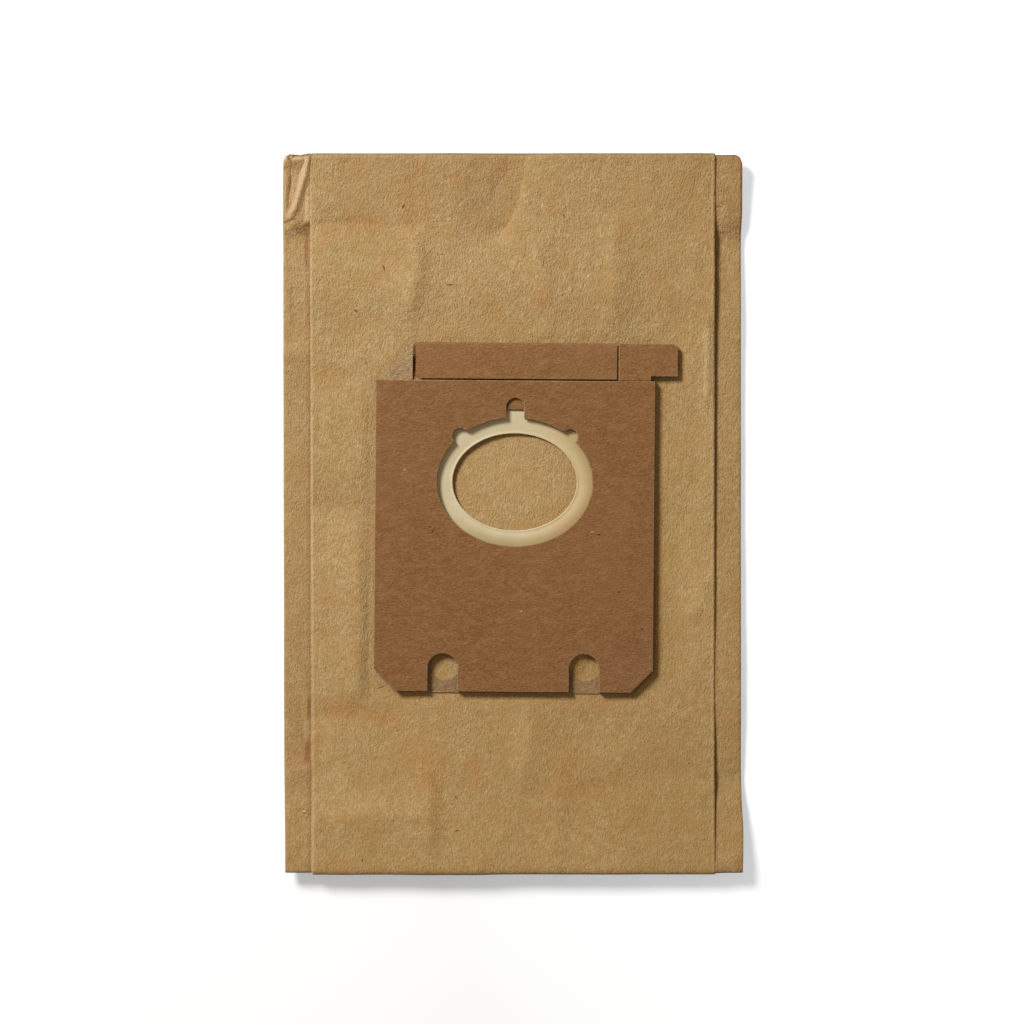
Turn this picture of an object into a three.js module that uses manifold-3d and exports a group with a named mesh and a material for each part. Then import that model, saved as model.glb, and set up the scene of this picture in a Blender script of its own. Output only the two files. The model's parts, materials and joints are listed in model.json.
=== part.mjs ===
// A flat, empty paper dust bag for a vacuum cleaner, lying on its back with its collar up.
// Millimetres. X runs across the bag, Y along it, Z up. The origin is on the ground, under the
// middle of the bag.

import * as THREE from "three";
import { mergeVertices } from "three/addons/utils/BufferGeometryUtils.js";
import Module from "manifold-3d";

// The paper bag
const bagLength = 267; // over both folded ends
const backPanelWidth = 169;
const frontPanelWidth = 150;
const gussetTuck = 48; // from the back panel's side fold in to the gusset's inner crease
const paper = 0.35; // two plies of kraft paper, as they lie
const topFlap = 29; // the top end, folded to the back
const bottomFlap = 23.5; // the bottom end, folded to the back
const flapCrack = 0.5; // between a folded end and the back panel
const pressGap = 0.2; // between the layers of a glued end
const sideFoldRound = 0.25;
const backSag = 0.3; // height of the back panel above the ground between the folded ends
const sagRun = 6; // length over which the back panel comes down past a folded end
const panelSink = 1.5; // the front panel lies this much lower under the collar than at its ends
const collarFlat = 3; // the panel is flat this far past the collar
const rearGussetGapTop = 0.25; // between the back panel and the gusset behind it, at the top
const rearGussetGapBottom = 0.55;
const frontGussetGap = 0.3; // between the gusset and the front panel
const middleDip = 0.7; // the ends are thinner between the gussets
const dipRun = 8; // width of the slope down to the thin middle
const creaseRoom = 1; // from a gusset's inner crease to that slope

// The collar: a plate of card layers, turned a little on the bag
const collarX = 0.55; // centre of the plate from the bag's centre line
const collarY = -8.4; // centre of the plate from the middle of the bag's length
const collarTurn = -0.45; // degrees
const plateWidth = 103.2;
const plateHeight = 115;
const cornerCut = 8.2;
const glueGap = 0.1; // between one layer and the next
const backCard = 0.4;
const membraneCard = 0.4;
const spacerCard = 1.0;
const frontCard = 1.1;

// The mouth
const mouthAbove = 20; // mouth's centre above the plate's centre
const mouthWidth = 57.4;
const mouthHeight = 47.4;
const lipWidth = 5.75; // the membrane's lip inside the mouth
const lipOverhang = 1.8; // from the membrane's edge back to the hole in the back card
const paperSetBack = 1.7; // from the hole in the back card to the hole in the paper
const membraneMargin = 8; // the membrane's hold beyond the mouth
const membraneCorner = 6;

// The notches in the mouth
const topNotchWidth = 6.6;
const topNotchReach = 31; // from the mouth's centre to the notch's round end, in the front card
const spacerNotchReach = 26.8; // to its square end in the spacer
const sideNotchRadius = 2.85;
const sideNotchOut = 20.3; // from the mouth's centre across
const sideNotchUp = 16.9; // from the mouth's centre up

// The pin slots at the plate's lower edge
const slotSpacing = 52.2;
const slotRadius = 5.5;
const slotRise = 8.6; // from the plate's lower edge up to the slot's round centre
const pinHoleSlack = 0.25; // the holes in the back card are this much smaller in radius
const pinHoleShiftX = 0.8;
const pinHoleShiftY = 0.5;

// The back card, which stands out past the plate and folds over as the grip strip
const backShiftX = 1.0;
const backShiftY = -0.6;
const stripLeft = -36.9; // from the plate's centre line
const stripRight = 37.5;
const stripHeight = 13.9;
const stripCut = 0.6; // between the strip and the plate
const reliefCut = 1.0; // slit at the strip's left end
const stripDrop = 0.1; // the strip lies this much below the front card's face

// The pull tag, which hangs on the front card by a crease
const tagCut = 0.55; // between the strip and the tag
const tagNeck = 12; // width at the crease
const tagWidth = 21.9;
const tagGap = 1.6; // between the plate and the tag's free part
const tagTop = 13.4; // height above the plate
const tagCorner = 2;
const creaseWidth = 0.7;
const creaseDepth = 0.25;

// Levels, worked out from the layers
const endStack = 4 * paper + 3 * pressGap;
const foldRadius = flapCrack / 2;
const foldAxisZ = endStack + foldRadius;
const pressedBackZ = foldAxisZ + foldRadius;
const pressedFrontZ = pressedBackZ + endStack;
const panelZ = pressedFrontZ - panelSink;
const backCardZ = panelZ + glueGap;
const membraneZ = backCardZ + backCard + glueGap;
const spacerZ = membraneZ + membraneCard + glueGap;
const frontZ = spacerZ + spacerCard + glueGap;
const faceZ = frontZ + frontCard;

// Places, worked out from the sizes
const foldReach = foldRadius + endStack;
const endY = bagLength / 2;
const foldLine = endY - foldReach; // where an end starts to turn under
const flatTop = collarY + plateHeight / 2 + stripCut + stripHeight + collarFlat;
const flatBottom = collarY - plateHeight / 2 - collarFlat;
const creaseX = backPanelWidth / 2 - gussetTuck;
const holeWidth = mouthWidth - 2 * lipWidth;
const holeHeight = mouthHeight - 2 * lipWidth;

const wasm = await Module();
wasm.setup();

function solid(geometry) {
  const plain = geometry.index ? geometry.toNonIndexed() : geometry.clone();
  plain.deleteAttribute("normal");
  plain.deleteAttribute("uv");
  const merged = mergeVertices(plain, 1e-5);
  return new wasm.Manifold(
    new wasm.Mesh({
      numProp: 3,
      vertProperties: new Float32Array(merged.attributes.position.array),
      triVerts: new Uint32Array(merged.index.array),
    }),
  );
}

function geometryOf(body) {
  const mesh = body.getMesh();
  const geometry = new THREE.BufferGeometry();
  geometry.setAttribute("position", new THREE.BufferAttribute(mesh.vertProperties, 3));
  geometry.setIndex(new THREE.BufferAttribute(mesh.triVerts, 1));
  return geometry;
}

const smooth = (value) => THREE.MathUtils.smoothstep(value, 0, 1);
const blend = THREE.MathUtils.lerp;

// Folded-bag cross-section

// One station: where the back panel's outer face is, which way the layers stack, and the gaps
function station(y, z, upY, upZ, rear, pocket, front, dip) {
  return { y, z, upY, upZ, rear, pocket, front, dip };
}

const place = ([x, h], at) => [x, at.y + h * at.upY, at.z + h * at.upZ];
const mirrored = (half) => half.concat(half.map(([x, h]) => [-x, h]).reverse());

// Heights of the layers, counted from the outer face of the back panel
function layers(at) {
  const gussetTop = 2 * paper + at.rear;
  const pocketTop = gussetTop + at.pocket;
  return { gussetTop, pocketTop, top: pocketTop + 2 * paper + at.front };
}

function outerOutline(at) {
  const { gussetTop, pocketTop, top } = layers(at);
  const backX = backPanelWidth / 2;
  const frontX = frontPanelWidth / 2;
  const r = sideFoldRound;
  return mirrored([
    [backX - r, 0],
    [backX, r],
    [backX, gussetTop - r],
    [backX - r, gussetTop],
    [creaseX, gussetTop],
    [creaseX, pocketTop],
    [frontX - r, pocketTop],
    [frontX, pocketTop + r],
    [frontX, top - r],
    [frontX - r, top],
    [creaseX - creaseRoom, top],
    [creaseX - creaseRoom - dipRun, top - at.dip],
  ]);
}

function innerOutline(at) {
  const { gussetTop, pocketTop, top } = layers(at);
  const backX = backPanelWidth / 2 - paper;
  const frontX = frontPanelWidth / 2 - paper;
  return mirrored([
    [backX, paper],
    [backX, gussetTop - paper],
    [creaseX - paper, gussetTop - paper],
    [creaseX - paper, pocketTop + paper],
    [frontX, pocketTop + paper],
    [frontX, top - paper],
    [creaseX - creaseRoom, top - paper],
    [creaseX - creaseRoom - dipRun, top - at.dip - paper],
  ]);
}

function loft(stations, outline) {
  const flat = stations.map(outline);
  const count = flat[0].length;
  const positions = flat.flatMap((ring, i) => ring.flatMap((p) => place(p, stations[i])));
  const index = [];
  for (let i = 0; i + 1 < stations.length; i++) {
    for (let j = 0; j < count; j++) {
      const a = i * count + j;
      const b = i * count + ((j + 1) % count);
      index.push(a, a + count, b, b, a + count, b + count);
    }
  }
  const cap = (ring) =>
    THREE.ShapeUtils.triangulateShape(
      ring.map(([x, h]) => new THREE.Vector2(x, h)),
      [],
    );
  const last = (stations.length - 1) * count;
  for (const [a, b, c] of cap(flat[0])) index.push(a, b, c);
  for (const [a, b, c] of cap(flat.at(-1))) index.push(last + a, last + c, last + b);
  const geometry = new THREE.BufferGeometry();
  geometry.setAttribute("position", new THREE.Float32BufferAttribute(positions, 3));
  geometry.setIndex(index);
  return geometry;
}

// The stations of a folded end, from the flap's free edge round to the start of the main length
function foldedEnd(side, flap) {
  const axisY = side * foldLine;
  const pressed = [pressGap, pressGap, pressGap];
  const freeEdge = side * (endY - flap);
  const list = [station(freeEdge, foldAxisZ - foldRadius, 0, -1, ...pressed, middleDip)];
  const steps = 8;
  for (let i = 0; i <= steps; i++) {
    const turn = Math.PI * (1 - i / steps);
    const out = side * Math.sin(turn);
    const up = Math.cos(turn);
    const dip = middleDip * up * up;
    const y = axisY + foldRadius * out;
    list.push(station(y, foldAxisZ + foldRadius * up, out, up, ...pressed, dip));
  }
  return list;
}

// The stations of the main length, between the two end folds
function mainStation(y) {
  const flapEnd = y > 0 ? endY - topFlap : bottomFlap - endY;
  const flatEnd = y > 0 ? flatTop : flatBottom;
  const open = smooth(Math.sign(y) * (flapEnd - y) / sagRun);
  const sunk = smooth((flapEnd - y) / (flapEnd - flatEnd));
  const along = (y + endY) / bagLength;
  const rearOpen = blend(rearGussetGapBottom, rearGussetGapTop, along);
  const backZ = blend(pressedBackZ, backSag, open);
  const rear = blend(pressGap, rearOpen, open);
  const front = blend(pressGap, frontGussetGap, open);
  const frontTop = blend(pressedFrontZ, panelZ, sunk);
  const pocket = frontTop - backZ - 4 * paper - rear - front;
  return station(y, backZ, 0, 1, rear, pocket, front, middleDip * (1 - sunk));
}

function between(from, to, steps) {
  return Array.from({ length: steps + 1 }, (_, i) => blend(from, to, i / steps));
}

const topFlapEnd = endY - topFlap;
const bottomFlapEnd = -endY + bottomFlap;
const openPart = [
  ...between(bottomFlapEnd, bottomFlapEnd + sagRun, 6),
  ...between(bottomFlapEnd + sagRun, topFlapEnd - sagRun, 24).slice(1, -1),
  ...between(topFlapEnd - sagRun, topFlapEnd, 6),
];
const mainLength = [
  ...between(-foldLine, bottomFlapEnd, 4).slice(1, -1),
  ...openPart,
  ...between(topFlapEnd, foldLine, 4).slice(1, -1),
].map(mainStation);

// Card shapes, in the collar's own frame

const extruded = (shape, depth, z) =>
  new THREE.ExtrudeGeometry(shape, { depth, bevelEnabled: false, curveSegments: 32 }).translate(
    0,
    0,
    z,
  );

function ellipse(width, height, x, y) {
  const shape = new THREE.Shape();
  shape.absellipse(x, y, width / 2, height / 2, 0, Math.PI * 2);
  return shape;
}

function polygon(points) {
  return new THREE.Shape(points.map(([x, y]) => new THREE.Vector2(x, y)));
}

function box(left, right, low, high, depth, z) {
  const corners = [
    [left, low],
    [right, low],
    [right, high],
    [left, high],
  ];
  return solid(extruded(polygon(corners), depth, z));
}

const halfWidth = plateWidth / 2;
const halfHeight = plateHeight / 2;
const slotY = -halfHeight + slotRise;

// A cutter through one card, taller than the card
const through = (card) => 3 * card;

function cutEllipse(body, width, height, x, y, card, z) {
  return body.subtract(solid(extruded(ellipse(width, height, x, y), through(card), z - card)));
}

function cutPinSlots(body, card, z) {
  let cut = body;
  for (const side of [-1, 1]) {
    const x = (side * slotSpacing) / 2;
    cut = cutEllipse(cut, 2 * slotRadius, 2 * slotRadius, x, slotY, card, z);
    const run = box(
      x - slotRadius,
      x + slotRadius,
      -halfHeight - slotRadius,
      slotY,
      through(card),
      z - card,
    );
    cut = cut.subtract(run);
  }
  return cut;
}

function cutMouth(body, card, z) {
  let cut = cutEllipse(body, mouthWidth, mouthHeight, 0, mouthAbove, card, z);
  for (const side of [-1, 1]) {
    const x = side * sideNotchOut;
    const y = mouthAbove + sideNotchUp;
    cut = cutEllipse(cut, 2 * sideNotchRadius, 2 * sideNotchRadius, x, y, card, z);
  }
  return cut;
}

function cutTopNotch(body, reach, card, z) {
  const half = topNotchWidth / 2;
  const top = mouthAbove + reach;
  return body.subtract(box(-half, half, mouthAbove, top, through(card), z - card));
}

function plateOutline() {
  return [
    [-halfWidth, halfHeight],
    [-halfWidth, -halfHeight + cornerCut],
    [-halfWidth + cornerCut, -halfHeight],
    [halfWidth - cornerCut, -halfHeight],
    [halfWidth, -halfHeight + cornerCut],
    [halfWidth, halfHeight],
  ];
}

// The pieces

function paperBag() {
  const outside = [
    ...foldedEnd(-1, bottomFlap),
    ...mainLength,
    ...foldedEnd(1, topFlap).reverse(),
  ];
  const inside = openPart.map(mainStation);
  const port = new THREE.Vector2(0, mouthAbove)
    .rotateAround(new THREE.Vector2(), THREE.MathUtils.degToRad(collarTurn))
    .add(new THREE.Vector2(collarX, collarY));
  const grow = 2 * (lipOverhang + paperSetBack);
  const cutter = ellipse(holeWidth + grow, holeHeight + grow, port.x, port.y);
  const bag = solid(loft(outside, outerOutline))
    .subtract(solid(loft(inside, innerOutline)))
    .subtract(solid(extruded(cutter, through(paper), panelZ - 2 * paper)));
  return geometryOf(bag);
}

function backBoard() {
  const left = -halfWidth + backShiftX;
  const right = halfWidth + backShiftX;
  const low = -halfHeight + backShiftY;
  const high = halfHeight + backShiftY;
  const slitLeft = stripLeft - reliefCut;
  const rise = slitLeft - left;
  const stripTop = halfHeight + stripCut + stripHeight;
  const outerRadius = (faceZ - stripDrop - backCardZ) / 2;
  const foldY = stripTop - outerRadius;
  const outline = polygon([
    [left, high],
    [left, low + cornerCut],
    [left + cornerCut, low],
    [right - cornerCut, low],
    [right, low + cornerCut],
    [right, high],
    [stripRight, high],
    [stripRight, foldY],
    [stripLeft, foldY],
    [stripLeft, high],
    [slitLeft, high],
    [slitLeft, high + rise],
  ]);
  let card = solid(extruded(outline, backCard, backCardZ));
  const grow = 2 * lipOverhang;
  card = cutEllipse(
    card,
    holeWidth + grow,
    holeHeight + grow,
    0,
    mouthAbove,
    backCard,
    backCardZ,
  );
  for (const side of [-1, 1]) {
    const size = 2 * (slotRadius - pinHoleSlack);
    const x = (side * slotSpacing) / 2 + pinHoleShiftX;
    card = cutEllipse(card, size, size, x, slotY + pinHoleShiftY, backCard, backCardZ);
  }
  return geometryOf(card.add(solid(foldedStrip(foldY, outerRadius))));
}

// The strip's profile in Y and Z: up round the fold and back down over the front as a lip
function foldedStrip(foldY, outerRadius) {
  const middle = backCardZ + outerRadius;
  const lipEnd = halfHeight + stripCut;
  const overlap = backCard;
  const profile = new THREE.Shape();
  profile.moveTo(foldY - overlap, backCardZ);
  profile.lineTo(foldY, backCardZ);
  profile.absarc(foldY, middle, outerRadius, -Math.PI / 2, Math.PI / 2, false);
  profile.lineTo(lipEnd, backCardZ + 2 * outerRadius);
  profile.lineTo(lipEnd, backCardZ + 2 * outerRadius - backCard);
  profile.lineTo(foldY, backCardZ + 2 * outerRadius - backCard);
  profile.absarc(foldY, middle, outerRadius - backCard, Math.PI / 2, -Math.PI / 2, true);
  profile.lineTo(foldY - overlap, backCardZ + backCard);
  const strip = extruded(profile, stripRight - stripLeft, 0);
  // The profile is drawn flat, so it is stood up: its X becomes Y, its Y becomes Z
  strip.applyMatrix4(
    new THREE.Matrix4().set(0, 0, 1, stripLeft, 1, 0, 0, 0, 0, 1, 0, 0, 0, 0, 0, 1),
  );
  return strip;
}

function sealMembrane() {
  const x = mouthWidth / 2 + membraneMargin;
  const y = mouthHeight / 2 + membraneMargin;
  const r = membraneCorner;
  const shape = new THREE.Shape();
  shape.absarc(x - r, mouthAbove + y - r, r, 0, Math.PI / 2);
  shape.absarc(-x + r, mouthAbove + y - r, r, Math.PI / 2, Math.PI);
  shape.absarc(-x + r, mouthAbove - y + r, r, Math.PI, 1.5 * Math.PI);
  shape.absarc(x - r, mouthAbove - y + r, r, 1.5 * Math.PI, 2 * Math.PI);
  const sheet = solid(extruded(shape, membraneCard, membraneZ));
  return geometryOf(
    cutEllipse(sheet, holeWidth, holeHeight, 0, mouthAbove, membraneCard, membraneZ),
  );
}

function spacerBoard() {
  let card = solid(extruded(polygon(plateOutline()), spacerCard, spacerZ));
  card = cutMouth(card, spacerCard, spacerZ);
  card = cutTopNotch(card, spacerNotchReach, spacerCard, spacerZ);
  return geometryOf(cutPinSlots(card, spacerCard, spacerZ));
}

function frontBoard() {
  const tagLeft = stripRight + tagCut;
  const tagRight = tagLeft + tagWidth;
  const tagHigh = halfHeight + tagTop;
  const shape = new THREE.Shape();
  shape.moveTo(tagLeft, halfHeight);
  for (const [x, y] of plateOutline()) shape.lineTo(x, y);
  shape.lineTo(tagLeft + tagNeck, halfHeight);
  shape.lineTo(tagLeft + tagNeck, halfHeight + tagGap);
  shape.lineTo(tagRight, halfHeight + tagGap);
  shape.absarc(tagRight - tagCorner, tagHigh - tagCorner, tagCorner, 0, Math.PI / 2);
  shape.lineTo(tagLeft, tagHigh);
  let card = solid(extruded(shape, frontCard, frontZ));
  card = cutMouth(card, frontCard, frontZ);
  const roundEnd = topNotchReach - topNotchWidth / 2;
  card = cutTopNotch(card, roundEnd, frontCard, frontZ);
  card = cutEllipse(
    card,
    topNotchWidth,
    topNotchWidth,
    0,
    mouthAbove + roundEnd,
    frontCard,
    frontZ,
  );
  const crease = box(
    tagLeft - tagCut / 2,
    tagLeft + tagNeck + tagCut / 2,
    halfHeight - creaseWidth / 2,
    halfHeight + creaseWidth / 2,
    frontCard,
    faceZ - creaseDepth,
  );
  return geometryOf(cutPinSlots(card.subtract(crease), frontCard, frontZ));
}

function finish(color, roughness) {
  return new THREE.MeshStandardMaterial({ color, roughness, metalness: 0 });
}

function piece(name, geometry, material) {
  const mesh = new THREE.Mesh(geometry, material);
  mesh.name = name;
  return mesh;
}

const collar = new THREE.Group();
collar.position.set(collarX, collarY, 0);
collar.rotation.z = THREE.MathUtils.degToRad(collarTurn);
collar.add(
  piece("back_board", backBoard(), finish(0x9c825d, 0.95)),
  piece("seal_membrane", sealMembrane(), finish(0xc4af88, 0.55)),
  piece("spacer_board", spacerBoard(), finish(0x855d3a, 0.9)),
  piece("front_board", frontBoard(), finish(0x855d3a, 0.9)),
);

const dustBag = new THREE.Group();
dustBag.add(piece("paper_bag", paperBag(), finish(0xa9884e, 0.9)), collar);

export default dustBag;
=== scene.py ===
import json
import math

import bmesh
import bpy
from mathutils import Matrix, Vector, geometry, noise

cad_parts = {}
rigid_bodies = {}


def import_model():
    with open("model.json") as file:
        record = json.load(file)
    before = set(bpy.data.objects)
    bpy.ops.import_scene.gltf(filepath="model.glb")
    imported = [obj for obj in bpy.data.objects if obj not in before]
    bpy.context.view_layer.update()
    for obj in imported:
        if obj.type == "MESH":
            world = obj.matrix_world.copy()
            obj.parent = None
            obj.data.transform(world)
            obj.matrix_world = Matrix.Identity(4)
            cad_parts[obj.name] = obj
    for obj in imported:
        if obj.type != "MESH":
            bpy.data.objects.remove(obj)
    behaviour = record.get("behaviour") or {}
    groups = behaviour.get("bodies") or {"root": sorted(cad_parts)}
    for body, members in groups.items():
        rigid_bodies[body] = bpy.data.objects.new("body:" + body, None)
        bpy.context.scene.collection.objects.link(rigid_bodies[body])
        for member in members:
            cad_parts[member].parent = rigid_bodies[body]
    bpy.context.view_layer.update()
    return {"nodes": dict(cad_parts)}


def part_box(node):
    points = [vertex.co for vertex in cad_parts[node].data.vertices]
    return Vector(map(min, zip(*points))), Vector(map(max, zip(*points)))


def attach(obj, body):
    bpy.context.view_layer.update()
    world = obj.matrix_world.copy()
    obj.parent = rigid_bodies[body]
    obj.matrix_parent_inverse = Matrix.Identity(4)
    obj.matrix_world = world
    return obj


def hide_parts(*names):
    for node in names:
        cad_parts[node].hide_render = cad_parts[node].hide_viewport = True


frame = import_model()
print("frame loaded:", ", ".join(sorted(frame["nodes"])))

mm = 0.001
pixel = 0.37                       # millimetres that one photo pixel covers
photoCentre = (512.75, 513.5)      # photo pixel over the middle of the bag


def spot(px, py):                  # a photo pixel as millimetres on the bag
    return (px - photoCentre[0]) * pixel, (photoCentre[1] - py) * pixel


def smooth(value):
    value = min(max(value, 0.0), 1.0)
    return value * value * (3 - 2 * value)


def mix(low, high, part):
    return low + (high - low) * part


def pieceFrom(bm, name, materials):
    mesh = bpy.data.meshes.new(name)
    bm.to_mesh(mesh)
    bm.free()
    piece = bpy.data.objects.new(name, mesh)
    bpy.context.scene.collection.objects.link(piece)
    for material in materials:
        mesh.materials.append(material)
    return piece


# camera, straight above as in the photo

shot = {"lens": 100, "sensor": 36, "imageSize": 1024, "focusHeight": 3.5, "fieldTrim": 1.0004,
        "nudge": (0.0, -0.1)}


def addCamera():
    data = bpy.data.cameras.new("topCamera")
    data.lens = shot["lens"]
    data.sensor_width = shot["sensor"]
    camera = bpy.data.objects.new("topCamera", data)
    x, y = spot(*(shot["imageSize"] / 2 - nudge for nudge in shot["nudge"]))
    distance = shot["imageSize"] * pixel * shot["lens"] / shot["sensor"] * shot["fieldTrim"]
    camera.location = (x * mm, y * mm, (shot["focusHeight"] + distance) * mm)
    data.clip_start = 0.01
    bpy.context.scene.collection.objects.link(camera)
    bpy.context.scene.camera = camera


# light: one soft box up on the left, and a dim even room

studio = {
    "azimuth": 44,                 # degrees left of the bag's top
    "elevation": 42,
    "distance": 1.3,
    "boxSize": 0.42,
    "keyLevel": 0.775,             # brightness that the key gives a white surface lying flat
    "roomLevel": 0.27,
    "roomTint": (1.0, 0.84, 0.62),
    "floorSize": 6,                # metres from its middle to its sides
    "floorColour": (0.75, 0.75, 0.75),
    "floorGlow": (0.92, 0.995, 1.09),
    "glowNear": 0.34, "glowFar": 0.53,       # the table is lifted to white where the key falls off
    "glowTurn": 15, "glowFrom": -60, "glowTo": 112,
}


def objectPlace(tree):
    return tree.nodes.new("ShaderNodeTexCoord").outputs["Object"]


def spread(tree, value, low, high, toLow, toHigh):
    ramp = tree.nodes.new("ShaderNodeMapRange")
    for name, bound in (("From Min", low), ("From Max", high), ("To Min", toLow), ("To Max", toHigh)):
        ramp.inputs[name].default_value = bound
    tree.links.new(value, ramp.inputs["Value"])
    return ramp.outputs["Result"]


def turned(tree, place, turn, stretch=(1, 1, 1), centre=(0, 0, 0)):    # turned first, then stretched
    mapping = tree.nodes.new("ShaderNodeMapping")
    mapping.vector_type = "TEXTURE"
    mapping.inputs["Location"].default_value = centre
    mapping.inputs["Rotation"].default_value = (0, 0, math.radians(turn))
    mapping.inputs["Scale"].default_value = stretch
    tree.links.new(place, mapping.inputs["Vector"])
    return mapping.outputs[0]


def slope(tree, place, turn, low, high, start=0, stop=1):    # an even change in one direction
    parts = tree.nodes.new("ShaderNodeSeparateXYZ")
    tree.links.new(turned(tree, place, turn), parts.inputs[0])
    return spread(tree, parts.outputs["X"], low * mm, high * mm, start, stop)


def combine(tree, operation, *values):
    node = tree.nodes.new("ShaderNodeMath")
    node.operation = operation
    for socket, value in zip(node.inputs, values):
        if isinstance(value, float):
            socket.default_value = value
        else:
            tree.links.new(value, socket)
    return node.outputs[0]


def addLight():
    lamp = bpy.data.lights.new("softBox", "AREA")
    lamp.shape = "DISK"
    lamp.size = studio["boxSize"]
    azimuth, elevation = math.radians(studio["azimuth"]), math.radians(studio["elevation"])
    distance = studio["distance"]
    fallen = math.sin(elevation) / (math.pi ** 2 * distance ** 2)
    lamp.energy = studio["keyLevel"] / fallen
    holder = bpy.data.objects.new("softBox", lamp)
    aim = Vector((-math.cos(elevation) * math.sin(azimuth),
                  math.cos(elevation) * math.cos(azimuth), math.sin(elevation)))
    holder.location = aim * distance
    holder.rotation_euler = aim.to_track_quat("Z", "Y").to_euler()
    bpy.context.scene.collection.objects.link(holder)

    world = bpy.data.worlds.new("room")
    bpy.context.scene.world = world
    world.use_nodes = True
    tree = world.node_tree
    tree.nodes.clear()
    rays = tree.nodes.new("ShaderNodeLightPath").outputs
    room = tree.nodes.new("ShaderNodeBackground")
    room.inputs["Color"].default_value = (*studio["roomTint"], 1)
    room.inputs["Strength"].default_value = studio["roomLevel"]
    white = tree.nodes.new("ShaderNodeBackground")
    seen = combine(tree, "MAXIMUM", rays["Is Camera Ray"], rays["Is Glossy Ray"])
    clear = combine(tree, "MAXIMUM", seen, rays["Is Transmission Ray"])
    pick = tree.nodes.new("ShaderNodeMixShader")
    out = tree.nodes.new("ShaderNodeOutputWorld")
    tree.links.new(clear, pick.inputs["Fac"])
    tree.links.new(room.outputs[0], pick.inputs[1])
    tree.links.new(white.outputs[0], pick.inputs[2])
    tree.links.new(pick.outputs[0], out.inputs["Surface"])


def addFloor():
    bm = bmesh.new()
    bmesh.ops.create_grid(bm, x_segments=1, y_segments=1, size=studio["floorSize"])
    material = bpy.data.materials.new("whiteTable")
    material.use_nodes = True
    tree = material.node_tree
    tree.nodes.clear()
    paint = tree.nodes.new("ShaderNodeBsdfDiffuse")
    paint.inputs["Color"].default_value = (*studio["floorColour"], 1)
    # painted light: camera rays see the table glow, stronger towards the right, so it reads white where the key falls
    # off and the bag's cast shadow on it is lightened
    glow = tree.nodes.new("ShaderNodeEmission")
    glow.inputs["Color"].default_value = (*studio["floorGlow"], 1)
    rise = slope(tree, objectPlace(tree), studio["glowTurn"], studio["glowFrom"], studio["glowTo"],
                 studio["glowNear"], studio["glowFar"])
    seen = tree.nodes.new("ShaderNodeLightPath").outputs["Is Camera Ray"]
    tree.links.new(combine(tree, "MULTIPLY", seen, rise), glow.inputs["Strength"])
    both = tree.nodes.new("ShaderNodeAddShader")
    out = tree.nodes.new("ShaderNodeOutputMaterial")
    tree.links.new(paint.outputs[0], both.inputs[0])
    tree.links.new(glow.outputs[0], both.inputs[1])
    tree.links.new(both.outputs[0], out.inputs["Surface"])
    floor = pieceFrom(bm, "tableTop", [material])


bpy.context.scene.view_settings.view_transform = "Standard"
addCamera()
addLight()
addFloor()
print("camera, light and table ready")


# materials

def startMaterial(name, roughness, specular):
    material = bpy.data.materials.new(name)
    material.use_nodes = True
    tree = material.node_tree
    shader = tree.nodes["Principled BSDF"]
    shader.inputs["Roughness"].default_value = roughness
    shader.inputs["Specular IOR Level"].default_value = specular
    return material, tree, shader


def grain(tree, place, size, detail, stretch=1.0, turn=0.0, rough=0.55):
    field = tree.nodes.new("ShaderNodeTexNoise")
    field.inputs["Scale"].default_value = 1 / (size * mm)
    field.inputs["Detail"].default_value = detail
    field.inputs["Roughness"].default_value = rough
    tree.links.new(turned(tree, place, turn, (stretch, 1, 1)), field.inputs["Vector"])
    return field.outputs["Fac"]


def addBump(tree, shader, height, depth):
    bump = tree.nodes.new("ShaderNodeBump")
    bump.inputs["Strength"].default_value = 1
    bump.inputs["Distance"].default_value = depth * mm
    tree.links.new(height, bump.inputs["Height"])
    tree.links.new(bump.outputs[0], shader.inputs["Normal"])


def tint(tree, base, factor, colour, blend="MIX"):
    node = tree.nodes.new("ShaderNodeMix")
    node.data_type = "RGBA"
    node.blend_type = blend
    for name, value in (("A", base), ("B", colour)):
        if isinstance(value, tuple):
            node.inputs[name].default_value = (*value, 1)
        else:
            tree.links.new(value, node.inputs[name])
    tree.links.new(factor, node.inputs["Factor"])
    return node.outputs["Result"]


def veil(tree, base, field, low, high, share, colour):    # another colour where a pattern is strong
    return tint(tree, base, spread(tree, field, low, high, 0, share), colour)


def painted(tree, base, attribute, colour, blend="MIX"):
    mark = tree.nodes.new("ShaderNodeAttribute")
    mark.attribute_name = attribute
    return tint(tree, base, mark.outputs["Fac"], colour, blend)


speck = {"soft": 0.35, "strength": 0.9}


def addSpecks(tree, base, specks, colour):     # small marks: place, length, width, turn
    for place, long, wide, turn in specks:
        x, y = spot(*place)
        blot = tree.nodes.new("ShaderNodeTexGradient")
        blot.gradient_type = "SPHERICAL"
        size = (long * pixel * mm, wide * pixel * mm, 1)
        tree.links.new(turned(tree, objectPlace(tree), turn, size, (x * mm, y * mm, 0)), blot.inputs["Vector"])
        base = veil(tree, base, blot.outputs["Fac"], 0, speck["soft"], speck["strength"], colour)
    return base


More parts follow.
